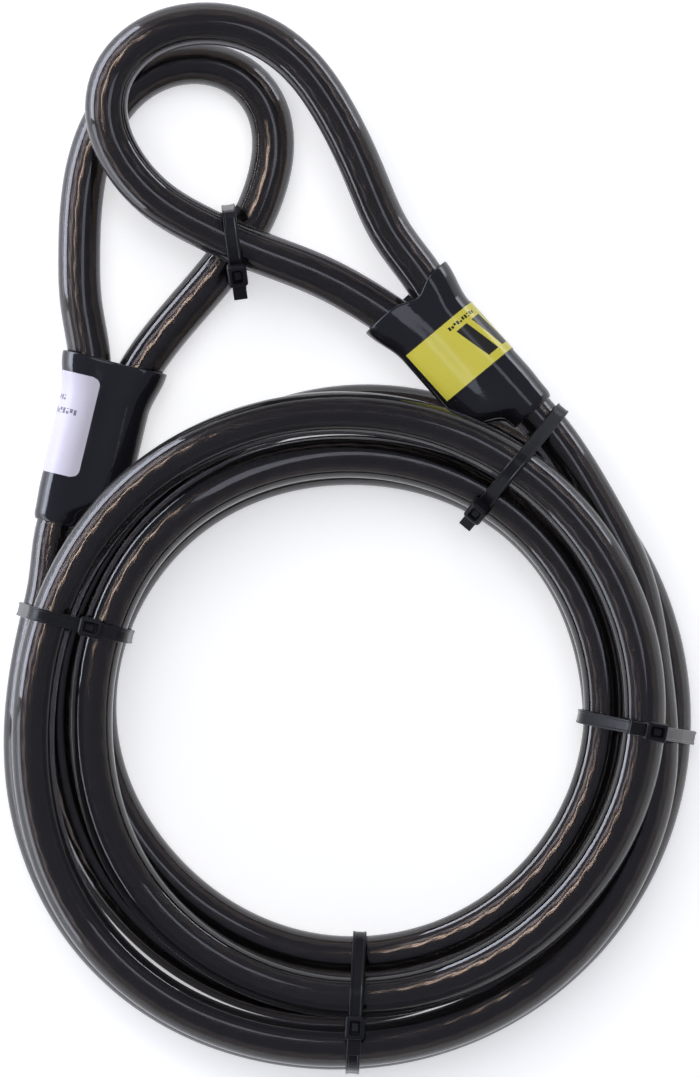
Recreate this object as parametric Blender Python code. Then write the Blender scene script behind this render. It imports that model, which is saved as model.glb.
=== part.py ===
"""Double-loop security cable, hand-coiled and tied.

A 15 mm sheathed wire rope ends in two eyes. Each eye is closed by a crimped ferrule under a moulded
boot. The long run between the boots is coiled in five turns and bound by nylon ties, and a fifth tie
holds the two eyes together. Lengths in this script are millimetres; meshes are made in metres.

Axes: +Z up, the coil's axis is vertical, and both eyes lie on its +Y side. The lowest faces are the
flat undersides of the ties.
"""

import math

import bmesh
import bpy
import numpy as np
from mathutils import Matrix, Vector

MM = 0.001

# ---- cable ------------------------------------------------------------------------------------
SHEATH_DIAMETER = 15.0
CORE_DIAMETER = 8.0
SEAT_GAP = 0.3            # clearance wherever one piece seats on another
LAY_GAP = 0.7             # clearance between neighbouring turns
SHEATH_SIDES = 8
CORE_SIDES = 6
RINGS_PER_TURN = 28
LEAD_RINGS = (12.0, 18.0)  # first rings after each end of the coiled run
EYE_RING_SPACING = 9.5
BARE_RING_SPACING = 12.0
SAMPLE_STEP = 1.0         # between samples of the centre line

# ---- ties -------------------------------------------------------------------------------------
STRAP_WIDTH = 4.8
STRAP_THICKNESS = 1.2
STRAP_POINTS = 40
HEAD_LENGTH = 8.2
HEAD_WIDTH = 6.8
HEAD_HEIGHT = 5.0
HEAD_BEVEL = 0.9
TAIL_LENGTH = 4.5
TAIL_THICKNESS = 1.0
TAIL_ROOT = 2.0           # how far the tail reaches into the head

# ---- ferrule and boot -------------------------------------------------------------------------
BORE_SPACING = 12.4
FERRULE_WALL = 3.6
FERRULE_START = 14.0      # from the boot's neck face
FERRULE_LENGTH = 30.0
CRIMP_COUNT = 3
CRIMP_DEPTH = 0.5
CRIMP_EDGE = 0.4
BOOT_LENGTH = 60.0
BOOT_WALL = 1.4
COLLAR_WALL = 1.3
COLLAR_LENGTH = 3.0
SHOULDER_LENGTH = 10.5
FLARE_LENGTH = 16.0
MOUTH_WIDEN = 3.1         # how much each side moves out over the flare
LIP_WALL = 1.0
LIP_LENGTH = 4.0
EYE_SHEATH_START = 55.0   # from the neck face, where the two runs are a sheath apart
RUN_CLEARANCE = 0.8       # between the two sheathed runs inside the mouth
LEFT_MOUTH_SPREAD = 9.3
RIGHT_MOUTH_SPREAD = 9.0
STRAIGHT_OUTSIDE = 5.0    # straight run of the cable before it enters the collar
STRAIGHT_STEPS = 5
ARC_SEGMENTS = 12

# ---- stickers ---------------------------------------------------------------------------------
STICKER_THICKNESS = 0.3
WHITE_LENGTH = 36.0
WHITE_CORNER = 3.0
WHITE_START = 17.0
WHITE_FROM, WHITE_TO = -31.0, -3.0
YELLOW_LENGTH = 22.5
YELLOW_CORNER = 0.4
YELLOW_START = 22.5
YELLOW_FROM, YELLOW_TO = -15.0, 30.0
STICKER_STEP = 1.6
STICKER_ROW = 3.0
CORNER_TURNS = (0, 30, 60, 90)  # degrees round a sticker's corner

# ---- places -----------------------------------------------------------------------------------
RING_RADIUS = 100.0
LEFT_AXIS_DEGREES = 76.5
RIGHT_AXIS_DEGREES = 132.0
RIGHT_BOOT_LIFT = 15.2    # the right boot rides this much above the left one

SHEATH_RADIUS = SHEATH_DIAMETER / 2
CORE_RADIUS = CORE_DIAMETER / 2
PITCH = SHEATH_DIAMETER + LAY_GAP
FLOOR_HEIGHT = STRAP_THICKNESS + SEAT_GAP + SHEATH_RADIUS
FERRULE_RADIUS = CORE_RADIUS + SEAT_GAP + FERRULE_WALL
BOOT_RADIUS = FERRULE_RADIUS + SEAT_GAP + BOOT_WALL
RUN_OFFSET = BORE_SPACING / 2
LEFT_BOOT_HEIGHT = BOOT_RADIUS
RIGHT_BOOT_HEIGHT = BOOT_RADIUS + RIGHT_BOOT_LIFT

# How the hand laid the turns. One row for each turn, one pair for each eighth of it, starting at the
# left (180 degrees) and going anticlockwise: (outward, up) from the ring's mean circle, in pitches.
TURN_LAY = (
    ((0.892, 0.0), (1.293, 0.0), (1.096, 0.0), (0.924, 0.0),
     (0.815, 0.0), (0.752, 0.0), (0.561, 0.0), (0.102, 0.669)),
    ((0.115, 0.713), (0.166, 0.032), (0.076, 0.0), (-0.290, 0.0),
     (-0.662, 0.0), (-0.605, 0.0), (-0.739, 0.0), (-0.650, 0.0)),
    ((-0.682, 0.0), (-0.949, 0.01), (-0.955, 0.30), (-0.853, 0.86),
     (-0.662, 1.030), (-0.541, 1.030), (-0.575, 1.035), (-0.497, 1.561)),
    ((-0.618, 1.465), (-0.318, 0.955), (-0.100, 1.032), (-0.019, 1.624),
     (0.191, 1.990), (0.305, 1.880), (0.385, 1.620), (0.573, 1.605)),
    ((0.662, 1.565), (1.185, 1.045), (1.000, 1.040), (0.809, 1.030),
     (0.529, 1.020)),
)
LAY_START = 180.0
LAY_STEP = 45.0

# The same for the rest of the part: (bearing, outward) of each boot's neck, and (bearing, outward, up) of
# points on the free stretches of the cable.
LEFT_NECK = (145.64, 1.068)
RIGHT_NECK = (59.69, 1.178)
LEFT_EYE = ((123.04, 4.648, 0.013), (120.42, 5.581, 0.0), (117.47, 6.624, 0.0),
            (113.90, 7.703, 0.0), (110.15, 8.421, -0.013), (106.31, 8.709, -0.025),
            (102.68, 8.601, -0.025), (99.61, 8.133, -0.013), (97.80, 7.388, 0.0),
            (97.59, 6.546, 0.0), (98.82, 5.684, 0.0), (101.69, 4.786, 0.0), (106.73, 3.966, 0.0),
            (112.71, 3.366, 0.013))
LEFT_LEAD_IN = ((155.52, 1.007, 0.013), (164.64, 0.844, 0.0), (173.92, 0.843, 0.0))
RIGHT_LEAD_OUT = ((12.12, 0.458, 1.025), (25.52, 0.653, 1.038), (39.76, 0.881, 1.019))
RIGHT_EYE = ((85.00, 4.436, 0.975), (88.30, 5.674, 0.994), (91.49, 7.138, 1.006),
             (94.61, 8.296, 1.019), (98.30, 9.079, 1.032), (102.32, 9.447, 1.038),
             (106.66, 9.407, 1.038), (110.33, 8.846, 1.038), (112.11, 7.999, 1.038),
             (112.16, 6.973, 1.038), (110.45, 5.935, 1.038), (106.73, 5.024, 1.038),
             (101.38, 4.221, 1.032), (94.07, 3.496, 0.994))

# Each tie: name, (bearing, outward) of a point of its plane, the plane's own bearing, how far the plane
# reaches either side of that point, the head's place across the bundle, and whether the tail points
# outward. Reach and place are in pitches.
TIES = (
    ("tie_left", (161.35, 0.124), 166.0, 2.20, -0.408, False),
    ("tie_bottom", (271.36, 0.066), 266.9, 2.20, 0.503, True),
    ("tie_right", (357.63, 0.088), -11.0, 2.20, 0.299, False),
    ("tie_top_right", (56.38, 0.407), 50.3, 2.20, -1.325, False),
    ("tie_eyes", (103.88, 4.358), 98.0, 1.27, -0.529, False),
)


def laid(bearing, outward, up=0.0):
    """A point given by bearing, and by pitches outward from the ring's mean circle and up."""
    radius = RING_RADIUS + outward * PITCH
    angle = math.radians(bearing)
    return (radius * math.cos(angle), radius * math.sin(angle), FLOOR_HEIGHT + up * PITCH)


def along_spline(points, spacing):
    """Samples of the smooth (natural cubic) curve through the points, and each sample's knot value."""
    knots = np.asarray(points, float)
    chords = np.linalg.norm(np.diff(knots, axis=0), axis=1)
    at = np.concatenate(([0.0], np.cumsum(chords)))
    count = len(at)
    matrix = np.zeros((count, count))
    right = np.zeros((count, 3))
    matrix[0, 0] = matrix[-1, -1] = 1.0
    for i in range(1, count - 1):
        matrix[i, i - 1] = chords[i - 1]
        matrix[i, i] = 2 * (chords[i - 1] + chords[i])
        matrix[i, i + 1] = chords[i]
        right[i] = 6 * ((knots[i + 1] - knots[i]) / chords[i] - (knots[i] - knots[i - 1]) / chords[i - 1])
    bend = np.linalg.solve(matrix, right)
    wanted = np.linspace(0.0, at[-1], int(at[-1] / spacing) + 1)
    cell = np.clip(np.searchsorted(at, wanted, side="right") - 1, 0, count - 2)
    h = chords[cell][:, None]
    left = (at[cell + 1] - wanted)[:, None]
    done = (wanted - at[cell])[:, None]
    samples = (bend[cell] * left ** 3 + bend[cell + 1] * done ** 3) / (6 * h)
    samples += (knots[cell] / h - bend[cell] * h / 6) * left
    samples += (knots[cell + 1] / h - bend[cell + 1] * h / 6) * done
    return samples, wanted


def lay_point(degrees):
    """A point of the coiled run: smooth (cubic) between the eighths of TURN_LAY, never below the floor."""
    stations = [pair for row in TURN_LAY for pair in row]
    place = (degrees - LAY_START) / LAY_STEP
    cell = int(min(max(math.floor(place), 0), len(stations) - 2))
    t = place - cell
    nearby = [np.array(stations[min(max(cell + k, 0), len(stations) - 1)]) for k in (-1, 0, 1, 2)]
    slope_in = (nearby[2] - nearby[0]) / (2 if cell > 0 else 1)
    slope_out = (nearby[3] - nearby[1]) / (2 if cell < len(stations) - 2 else 1)
    outward, up = ((2 * t ** 3 - 3 * t ** 2 + 1) * nearby[1] + (t ** 3 - 2 * t ** 2 + t) * slope_in
                   + (3 * t ** 2 - 2 * t ** 3) * nearby[2] + (t ** 3 - t ** 2) * slope_out)
    return laid(degrees, outward, max(up, 0.0))


class BootFrame:
    """Where a boot lies: along its axis from the neck, sideways to its right, and up."""

    def __init__(self, neck, axis_degrees, height, standing_side):
        angle = math.radians(axis_degrees)
        self.angle = angle
        self.neck = np.array((neck[0], neck[1], height))
        self.axis = np.array((math.cos(angle), math.sin(angle), 0.0))
        self.right = np.array((math.sin(angle), -math.cos(angle), 0.0))
        self.standing_side = standing_side

    def point(self, along, sideways):
        return tuple(self.neck + along * self.axis + sideways * self.right)

    def run(self, along, offset, standing):
        side = self.standing_side if standing else -self.standing_side
        return self.point(along, offset * side)

    def matrix(self):
        """Local +X along the axis, +Y to the left of it, +Z up."""
        place = Matrix.Translation(Vector(self.neck) * MM)
        return place @ Matrix.Rotation(self.angle, 4, "Z")


LEFT = BootFrame(laid(*LEFT_NECK), LEFT_AXIS_DEGREES, LEFT_BOOT_HEIGHT, -1)
RIGHT = BootFrame(laid(*RIGHT_NECK), RIGHT_AXIS_DEGREES, RIGHT_BOOT_HEIGHT, 1)
SHEATH_RUN_OFFSET = (SHEATH_DIAMETER + RUN_CLEARANCE) / 2
FERRULE_END = FERRULE_START + FERRULE_LENGTH


def boot_run(boot, mouth_spread, standing):
    """Points of one run inside a boot, from its neck end to just outside its mouth."""
    start = -STRAIGHT_OUTSIDE if standing else FERRULE_START
    straight = [start + (FERRULE_END - start) * k / STRAIGHT_STEPS for k in range(STRAIGHT_STEPS + 1)]
    return [boot.run(along, RUN_OFFSET, standing) for along in straight] + [
            boot.run(BOOT_LENGTH, mouth_spread, standing)]


def route():
    """The centre line from the left dead end, round both eyes and the coil, to the right dead end."""
    last = LAY_START + LAY_STEP * (sum(len(row) for row in TURN_LAY) - 1)
    step = 360.0 / RINGS_PER_TURN
    first_step = math.ceil((LAY_START + 1) / step)
    last_step = math.floor((last - 1) / step)
    turns = [lay_point(k * step) for k in range(first_step, last_step + 1)]
    left_eye, lead_in, lead_out, right_eye = ([laid(*point) for point in stretch] for stretch in
                                              (LEFT_EYE, LEFT_LEAD_IN, RIGHT_LEAD_OUT, RIGHT_EYE))
    points = boot_run(LEFT, LEFT_MOUTH_SPREAD, False) + left_eye[::-1]
    points += boot_run(LEFT, LEFT_MOUTH_SPREAD, True)[::-1]
    points += lead_in + turns + lead_out
    points += boot_run(RIGHT, RIGHT_MOUTH_SPREAD, True) + right_eye
    points += boot_run(RIGHT, RIGHT_MOUTH_SPREAD, False)[::-1]
    return along_spline(points, SAMPLE_STEP)


def nearest_sample(path, point):
    return int(np.argmin(np.linalg.norm(path - np.array(point), axis=1)))


def stations_between(path, first, last, spacing):
    """Sample numbers from first to last, evenly spread about a spacing apart."""
    lengths = np.concatenate(([0.0], np.cumsum(np.linalg.norm(np.diff(path[first:last + 1], axis=0), axis=1))))
    count = max(2, round(lengths[-1] / spacing))
    wanted = np.linspace(0.0, lengths[-1], count + 1)
    return first + np.searchsorted(lengths, wanted).clip(0, len(lengths) - 1)


def coil_stations(path, first, last):
    """Sample numbers for the coiled run: every turn has its rings at the same bearings."""
    bearings = np.unwrap(np.arctan2(path[first:last + 1, 1], path[first:last + 1, 0]))
    step = 2 * math.pi / RINGS_PER_TURN
    low = math.ceil(bearings[0] / step + 0.6)
    high = math.floor(bearings[-1] / step - 0.6)
    inner = [first + int(np.argmin(np.abs(bearings - k * step))) for k in range(low, high + 1)]
    near, far = (round(distance / SAMPLE_STEP) for distance in LEAD_RINGS)
    lead = [first, first + near, first + far]
    trail = [last - far, last - near, last]
    spare = (far - near) * 4 // 3
    body = [k for k in inner if lead[-1] + spare < k < trail[0] - spare]
    return np.array(lead + body + trail)


def path_frames(path, numbers):
    """Centre, sideways and up directions of a tube at the given samples."""
    before = np.clip(numbers - 1, 0, len(path) - 1)
    after = np.clip(numbers + 1, 0, len(path) - 1)
    tangent = path[after] - path[before]
    tangent /= np.linalg.norm(tangent, axis=1)[:, None]
    sideways = np.cross(tangent, (0.0, 0.0, 1.0))
    sideways /= np.linalg.norm(sideways, axis=1)[:, None]
    return path[numbers], sideways, np.cross(sideways, tangent)


def add_rings(mesh, frames, radius, sides):
    """Rings of vertices about the path; a flat side of the tube faces down."""
    rings = []
    for centre, sideways, up in zip(*frames):
        ring = []
        for k in range(sides):
            angle = 2 * math.pi * (k + 0.5) / sides + math.pi / 2
            offset = radius * (math.cos(angle) * sideways + math.sin(angle) * up)
            ring.append(mesh.verts.new((centre + offset) * MM))
        rings.append(ring)
    return rings


def skin(mesh, rings, outward=True):
    """Faces between neighbouring rings."""
    for a, b in zip(rings, rings[1:]):
        for k in range(len(a)):
            j = (k + 1) % len(a)
            face = (a[k], a[j], b[j], b[k])
            mesh.faces.new(face if outward else tuple(reversed(face)))


def ring_edges(mesh, ring):
    return [mesh.edges.get((ring[k], ring[(k + 1) % len(ring)])) for k in range(len(ring))]


def finish(mesh, name, smooth_degrees=40.0):
    """Turn a bmesh into an object with its faces pointing out and its round sides shaded smooth."""
    bmesh.ops.recalc_face_normals(mesh, faces=mesh.faces)
    data = bpy.data.meshes.new(name)
    mesh.to_mesh(data)
    mesh.free()
    data.shade_smooth()
    data.set_sharp_from_angle(angle=math.radians(smooth_degrees))
    thing = bpy.data.objects.new(name, data)
    bpy.context.scene.collection.objects.link(thing)
    return thing


def tube(name, path, numbers, radius, sides, bore_radius=None, bore_sides=None):
    """A solid tube, or one with a bore, along the path."""
    mesh = bmesh.new()
    frames = path_frames(path, numbers)
    outer = add_rings(mesh, frames, radius, sides)
    skin(mesh, outer)
    if bore_radius is None:
        mesh.faces.new(outer[0])
        mesh.faces.new(list(reversed(outer[-1])))
        return finish(mesh, name)
    inner = add_rings(mesh, frames, bore_radius, bore_sides)
    skin(mesh, inner, outward=False)
    for end in (0, -1):
        edges = ring_edges(mesh, outer[end]) + ring_edges(mesh, inner[end])
        bmesh.ops.bridge_loops(mesh, edges=edges)
    return finish(mesh, name)


def stadium(half_straight, radius, shift=0.0):
    """Outline of two half circles joined by straight sides, in the (sideways, up) plane."""
    points = []
    for side in (1, -1):
        for k in range(ARC_SEGMENTS + 1):
            angle = math.pi * (k / ARC_SEGMENTS - 0.5) + (0 if side > 0 else math.pi)
            points.append((shift + side * half_straight + radius * math.cos(angle), radius * math.sin(angle)))
    return points


def ease(t):
    t = min(max(t, 0.0), 1.0)
    return t * t * (3 - 2 * t)


def loft_rings(mesh, sections):
    """Rings from (along, outline) pairs in a boot's own axes; outlines run to the right of the axis."""
    return [[mesh.verts.new((along * MM, -y * MM, z * MM)) for y, z in outline] for along, outline in sections]


def boot_shape(along, standing_side):
    """Half straight, radius and sideways shift of the boot's outline at a distance from its neck."""
    blend = ease((along - COLLAR_LENGTH) / SHOULDER_LENGTH)
    flare = ease((along - (BOOT_LENGTH - FLARE_LENGTH)) / FLARE_LENGTH)
    collar_radius = SHEATH_RADIUS + SEAT_GAP + COLLAR_WALL
    radius = collar_radius + (BOOT_RADIUS - collar_radius) * blend
    half_straight = max(RUN_OFFSET * blend + MOUTH_WIDEN * flare, 0.02)
    return half_straight, radius, standing_side * RUN_OFFSET * (1 - blend)


def boot_section(along, standing_side, wall_inset):
    """Outline of the boot at a distance from its neck face; wall_inset moves it inwards."""
    half_straight, radius, shift = boot_shape(along, standing_side)
    return stadium(half_straight, radius - wall_inset, shift)


def boot_wall(along):
    """Wall thickness: the collar, the body, and the thinner lip at the mouth."""
    body = COLLAR_WALL + (BOOT_WALL - COLLAR_WALL) * ease((along - COLLAR_LENGTH) / SHOULDER_LENGTH)
    return body + (LIP_WALL - BOOT_WALL) * ease((along - (BOOT_LENGTH - LIP_LENGTH)) / LIP_LENGTH)


def make_boot(name, boot):
    """One shell: outside from the collar over the shoulder and body to the flared lip, and back inside."""
    mesh = bmesh.new()
    shoulder = [COLLAR_LENGTH + SHOULDER_LENGTH * k / 6 for k in range(7)]
    flare = [BOOT_LENGTH - FLARE_LENGTH * (1 - k / 6) for k in range(7)]
    outside = [0.0] + shoulder + flare
    side = boot.standing_side
    outer = loft_rings(mesh, [(x, boot_section(x, side, 0.0)) for x in outside])
    inner = loft_rings(mesh, [(x, boot_section(x, side, boot_wall(x))) for x in outside])
    skin(mesh, outer)
    skin(mesh, inner, outward=False)
    skin(mesh, [inner[0], outer[0]])
    skin(mesh, [outer[-1], inner[-1]])
    thing = finish(mesh, name)
    thing.matrix_world = boot.matrix()
    return thing


def make_cutter(name, boot, offset):
    """Six-sided bore of the ferrule, a clearance larger than the wire core."""
    mesh = bmesh.new()
    radius = CORE_RADIUS + SEAT_GAP * 1.2
    rings = []
    for along in (FERRULE_START - 1.0, FERRULE_END + 1.0):
        ring = []
        for k in range(CORE_SIDES):
            angle = 2 * math.pi * (k + 0.5) / CORE_SIDES + math.pi / 2
            y = -offset + radius * math.cos(angle)
            ring.append(mesh.verts.new((along * MM, y * MM, radius * math.sin(angle) * MM)))
        rings.append(ring)
    skin(mesh, rings)
    mesh.faces.new(rings[0])
    mesh.faces.new(list(reversed(rings[1])))
    cutter = finish(mesh, name)
    cutter.matrix_world = boot.matrix()
    cutter.hide_render = True
    cutter.display_type = "WIRE"
    return cutter


def make_ferrule(name, boot):
    """Pressed sleeve: a stadium bar with crimp bands and two bores."""
    mesh = bmesh.new()
    band = FERRULE_LENGTH / (2 * CRIMP_COUNT + 1)
    sections = []
    for k in range(2 * CRIMP_COUNT + 1):
        depth = CRIMP_DEPTH if k % 2 else 0.0
        for x in (k * band + CRIMP_EDGE, (k + 1) * band - CRIMP_EDGE):
            sections.append((FERRULE_START + x, stadium(RUN_OFFSET, FERRULE_RADIUS - depth)))
    sections[0] = (FERRULE_START, sections[0][1])
    sections[-1] = (FERRULE_END, sections[-1][1])
    rings = loft_rings(mesh, sections)
    skin(mesh, rings)
    mesh.faces.new(rings[0])
    mesh.faces.new(list(reversed(rings[-1])))
    thing = finish(mesh, name)
    thing.matrix_world = boot.matrix()
    for side in (-1, 1):
        cutter = make_cutter(f"{name}_bore_{'right' if side > 0 else 'left'}", boot, side * RUN_OFFSET)
        hole = thing.modifiers.new("bore", "BOOLEAN")
        hole.operation = "DIFFERENCE"
        hole.solver = "EXACT"
        hole.object = cutter
    return thing


def outline_point(half_straight, radius, travel):
    """Point and outward direction at a distance round the boot from the middle of its top side."""
    side = 1 if travel >= 0 else -1
    travel = abs(travel)
    if travel <= half_straight:
        return (side * travel, radius), (0.0, 1.0)
    angle = (travel - half_straight) / radius
    if angle <= math.pi:
        direction = (side * math.sin(angle), math.cos(angle))
        return (side * (half_straight + radius * math.sin(angle)), radius * math.cos(angle)), direction
    return (side * (half_straight - radius * (angle - math.pi)), -radius), (0.0, -1.0)


def make_sticker(name, boot, start, length, from_side, to_side, corner):
    """A thin sheet wrapped round the boot's body, with rounded corners."""
    mesh = bmesh.new()
    steps = round((to_side - from_side) / STICKER_STEP)
    cut = [corner * (1 - math.cos(math.radians(a))) for a in CORNER_TURNS]
    insets = [corner * (1 - math.sin(math.radians(a))) for a in CORNER_TURNS]
    between = max(2, round((length - 2 * corner) / STICKER_ROW))
    middle = [start + corner + (length - 2 * corner) * k / between for k in range(1, between)]
    alongs = [start + c for c in cut] + middle + [start + length - c for c in reversed(cut)]
    insets = insets + [0.0] * len(middle) + list(reversed(insets))
    layers = []
    for lift in (0.0, STICKER_THICKNESS):
        rows = []
        for along, inset in zip(alongs, insets):
            half_straight, radius, _ = boot_shape(along, boot.standing_side)
            row = []
            for k in range(steps + 1):
                travel = from_side + inset + (to_side - from_side - 2 * inset) * k / steps
                (y, z), (ny, nz) = outline_point(half_straight, radius + SEAT_GAP, travel)
                row.append(mesh.verts.new((along * MM, -(y + lift * ny) * MM, (z + lift * nz) * MM)))
            rows.append(row)
        layers.append(rows)
    under, top = layers
    for rows in (under, top):
        for a, b in zip(rows, rows[1:]):
            for k in range(steps):
                mesh.faces.new((a[k], a[k + 1], b[k + 1], b[k]))
    rim_under = under[0] + [row[-1] for row in under[1:-1]] + list(reversed(under[-1]))
    rim_under += [row[0] for row in reversed(under[1:-1])]
    rim_top = top[0] + [row[-1] for row in top[1:-1]] + list(reversed(top[-1]))
    rim_top += [row[0] for row in reversed(top[1:-1])]
    skin(mesh, [rim_under, rim_top])
    thing = finish(mesh, name)
    thing.matrix_world = boot.matrix()
    return thing


def faceted_path(path, numbers):
    """The centre line of the faceted tube: straight between its rings, sampled as finely as the route."""
    pieces = []
    for a, b in zip(numbers, numbers[1:]):
        t = np.linspace(0.0, 1.0, b - a + 1)[:, None]
        pieces.append((path[a] * (1 - t) + path[b] * t)[:-1])
    return np.concatenate(pieces)


def sheath_surface(line):
    """Points all over the sheath's outer surface along a centre line."""
    tangent = np.gradient(line, axis=0)
    tangent /= np.linalg.norm(tangent, axis=1)[:, None]
    sideways = np.cross(tangent, (0.0, 0.0, 1.0))
    sideways /= np.linalg.norm(sideways, axis=1)[:, None]
    up = np.cross(sideways, tangent)
    angles = np.linspace(0, 2 * math.pi, 48, endpoint=False)[:, None, None]
    return (line + SHEATH_RADIUS * (np.cos(angles) * sideways + np.sin(angles) * up)).reshape(-1, 3)


def section_in_slab(surface, origin, across, normal, reach):
    """(across, up) points of the cable's surface between the two faces of a tie's strap."""
    relative = surface - np.array((origin[0], origin[1], 0.0))
    along = relative @ across
    inside = (np.abs(relative @ normal) < STRAP_WIDTH / 2 + SEAT_GAP) & (np.abs(along) < reach)
    return np.column_stack((along[inside], surface[inside, 2]))


def strap_outline(section, offset):
    """Tight loop round the cable: in each direction, the furthest surface point plus an offset."""
    loop = []
    for k in range(STRAP_POINTS):
        for nudge in ((-0.001, 0.001) if k in (0, STRAP_POINTS // 2) else (0.0,)):
            angle = 2 * math.pi * k / STRAP_POINTS - math.pi / 2 + nudge
            direction = np.array((math.cos(angle), math.sin(angle)))
            best = section[np.argmax(section @ direction)]
            loop.append(best + offset * direction)
    return loop


def block(name, size, centre, turn, bevel):
    """A bevelled block in a tie's own axes, turned in the strap's plane."""
    mesh = bmesh.new()
    bmesh.ops.create_cube(mesh, size=1.0)
    bmesh.ops.scale(mesh, vec=Vector(size) * MM, verts=mesh.verts)
    if bevel:
        bmesh.ops.bevel(mesh, geom=mesh.edges[:], offset=bevel * MM, segments=1, affect="EDGES")
    matrix = Matrix.Translation(Vector(centre) * MM) @ Matrix.Rotation(turn, 4, "Y")
    bmesh.ops.transform(mesh, matrix=matrix, verts=mesh.verts)
    piece = finish(mesh, name)
    piece.hide_render = True
    piece.display_type = "WIRE"
    return piece


def make_tie(name, surface, origin, bearing, reach, head_at, tail_outward):
    """A tie in a vertical plane: strap loop, locking head on top and trimmed tail.

    Its own axes are +X across the bundle, +Y along the cable and +Z up.
    """
    angle = math.radians(bearing)
    across = np.array((math.cos(angle), math.sin(angle), 0.0))
    normal = np.array((-math.sin(angle), math.cos(angle), 0.0))
    section = section_in_slab(surface, origin, across, normal, reach)
    inner = strap_outline(section, SEAT_GAP)
    outer = strap_outline(section, SEAT_GAP + STRAP_THICKNESS)
    mesh = bmesh.new()
    rings = []
    for y, loop in ((-0.5, inner), (-0.5, outer), (0.5, outer), (0.5, inner)):
        rings.append([mesh.verts.new((x * MM, y * STRAP_WIDTH * MM, z * MM)) for x, z in loop])
    skin(mesh, rings + [rings[0]])
    strap = finish(mesh, name)
    place = Matrix.Translation(Vector((origin[0], origin[1], 0.0)) * MM) @ Matrix.Rotation(angle, 4, "Z")
    strap.matrix_world = place

    upper = [p for p in outer if p[1] > np.mean([q[1] for q in outer])]
    upper.sort(key=lambda p: p[0])
    xs = [p[0] for p in upper]
    zs = [p[1] for p in upper]
    height = float(np.interp(head_at, xs, zs))
    half = HEAD_LENGTH / 4
    slope = (np.interp(head_at + half, xs, zs) - np.interp(head_at - half, xs, zs)) / (2 * half)
    turn = -math.atan(slope)
    lift = HEAD_HEIGHT / 2 - STRAP_THICKNESS * 0.7
    head_centre = (head_at + lift * math.sin(turn), 0.0, height + lift * math.cos(turn))
    head_size = (HEAD_LENGTH, HEAD_WIDTH, HEAD_HEIGHT)
    head = block(f"{name}_head", head_size, head_centre, turn, HEAD_BEVEL)
    reach_out = (HEAD_LENGTH + TAIL_LENGTH) / 2 * (1 if tail_outward else -1)
    tail_lift = lift + HEAD_HEIGHT * 0.05
    tail_centre = (head_at + tail_lift * math.sin(turn) + reach_out * math.cos(turn), 0.0,
                   height + tail_lift * math.cos(turn) - reach_out * math.sin(turn))
    tail_size = (TAIL_LENGTH + TAIL_ROOT, STRAP_WIDTH, TAIL_THICKNESS)
    tail = block(f"{name}_tail", tail_size, tail_centre, turn, 0.0)
    for piece in (head, tail):
        piece.matrix_world = place
        join = strap.modifiers.new(piece.name, "BOOLEAN")
        join.operation = "UNION"
        join.solver = "EXACT"
        join.object = piece
    return strap


def plain_material(name, colour, roughness, metallic=0.0, alpha=1.0):
    material = bpy.data.materials.new(name)
    material.use_nodes = True
    shader = material.node_tree.nodes["Principled BSDF"]
    shader.inputs["Base Color"].default_value = (*colour, 1.0)
    shader.inputs["Roughness"].default_value = roughness
    shader.inputs["Metallic"].default_value = metallic
    shader.inputs["Alpha"].default_value = alpha
    return material


def least_gap(path, numbers):
    """Least distance between the surface of a tube and itself, away from its own neighbourhood."""
    lengths = np.concatenate(([0.0], np.cumsum(np.linalg.norm(np.diff(path, axis=0), axis=1))))
    points = path[numbers[0]:numbers[-1] + 1:2]
    at = lengths[numbers[0]:numbers[-1] + 1:2]
    apart = np.linalg.norm(points[:, None, :] - points[None, :, :], axis=2)
    apart[np.abs(at[:, None] - at[None, :]) < 4 * SHEATH_DIAMETER] = np.inf
    return float(apart.min() - SHEATH_DIAMETER)


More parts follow.
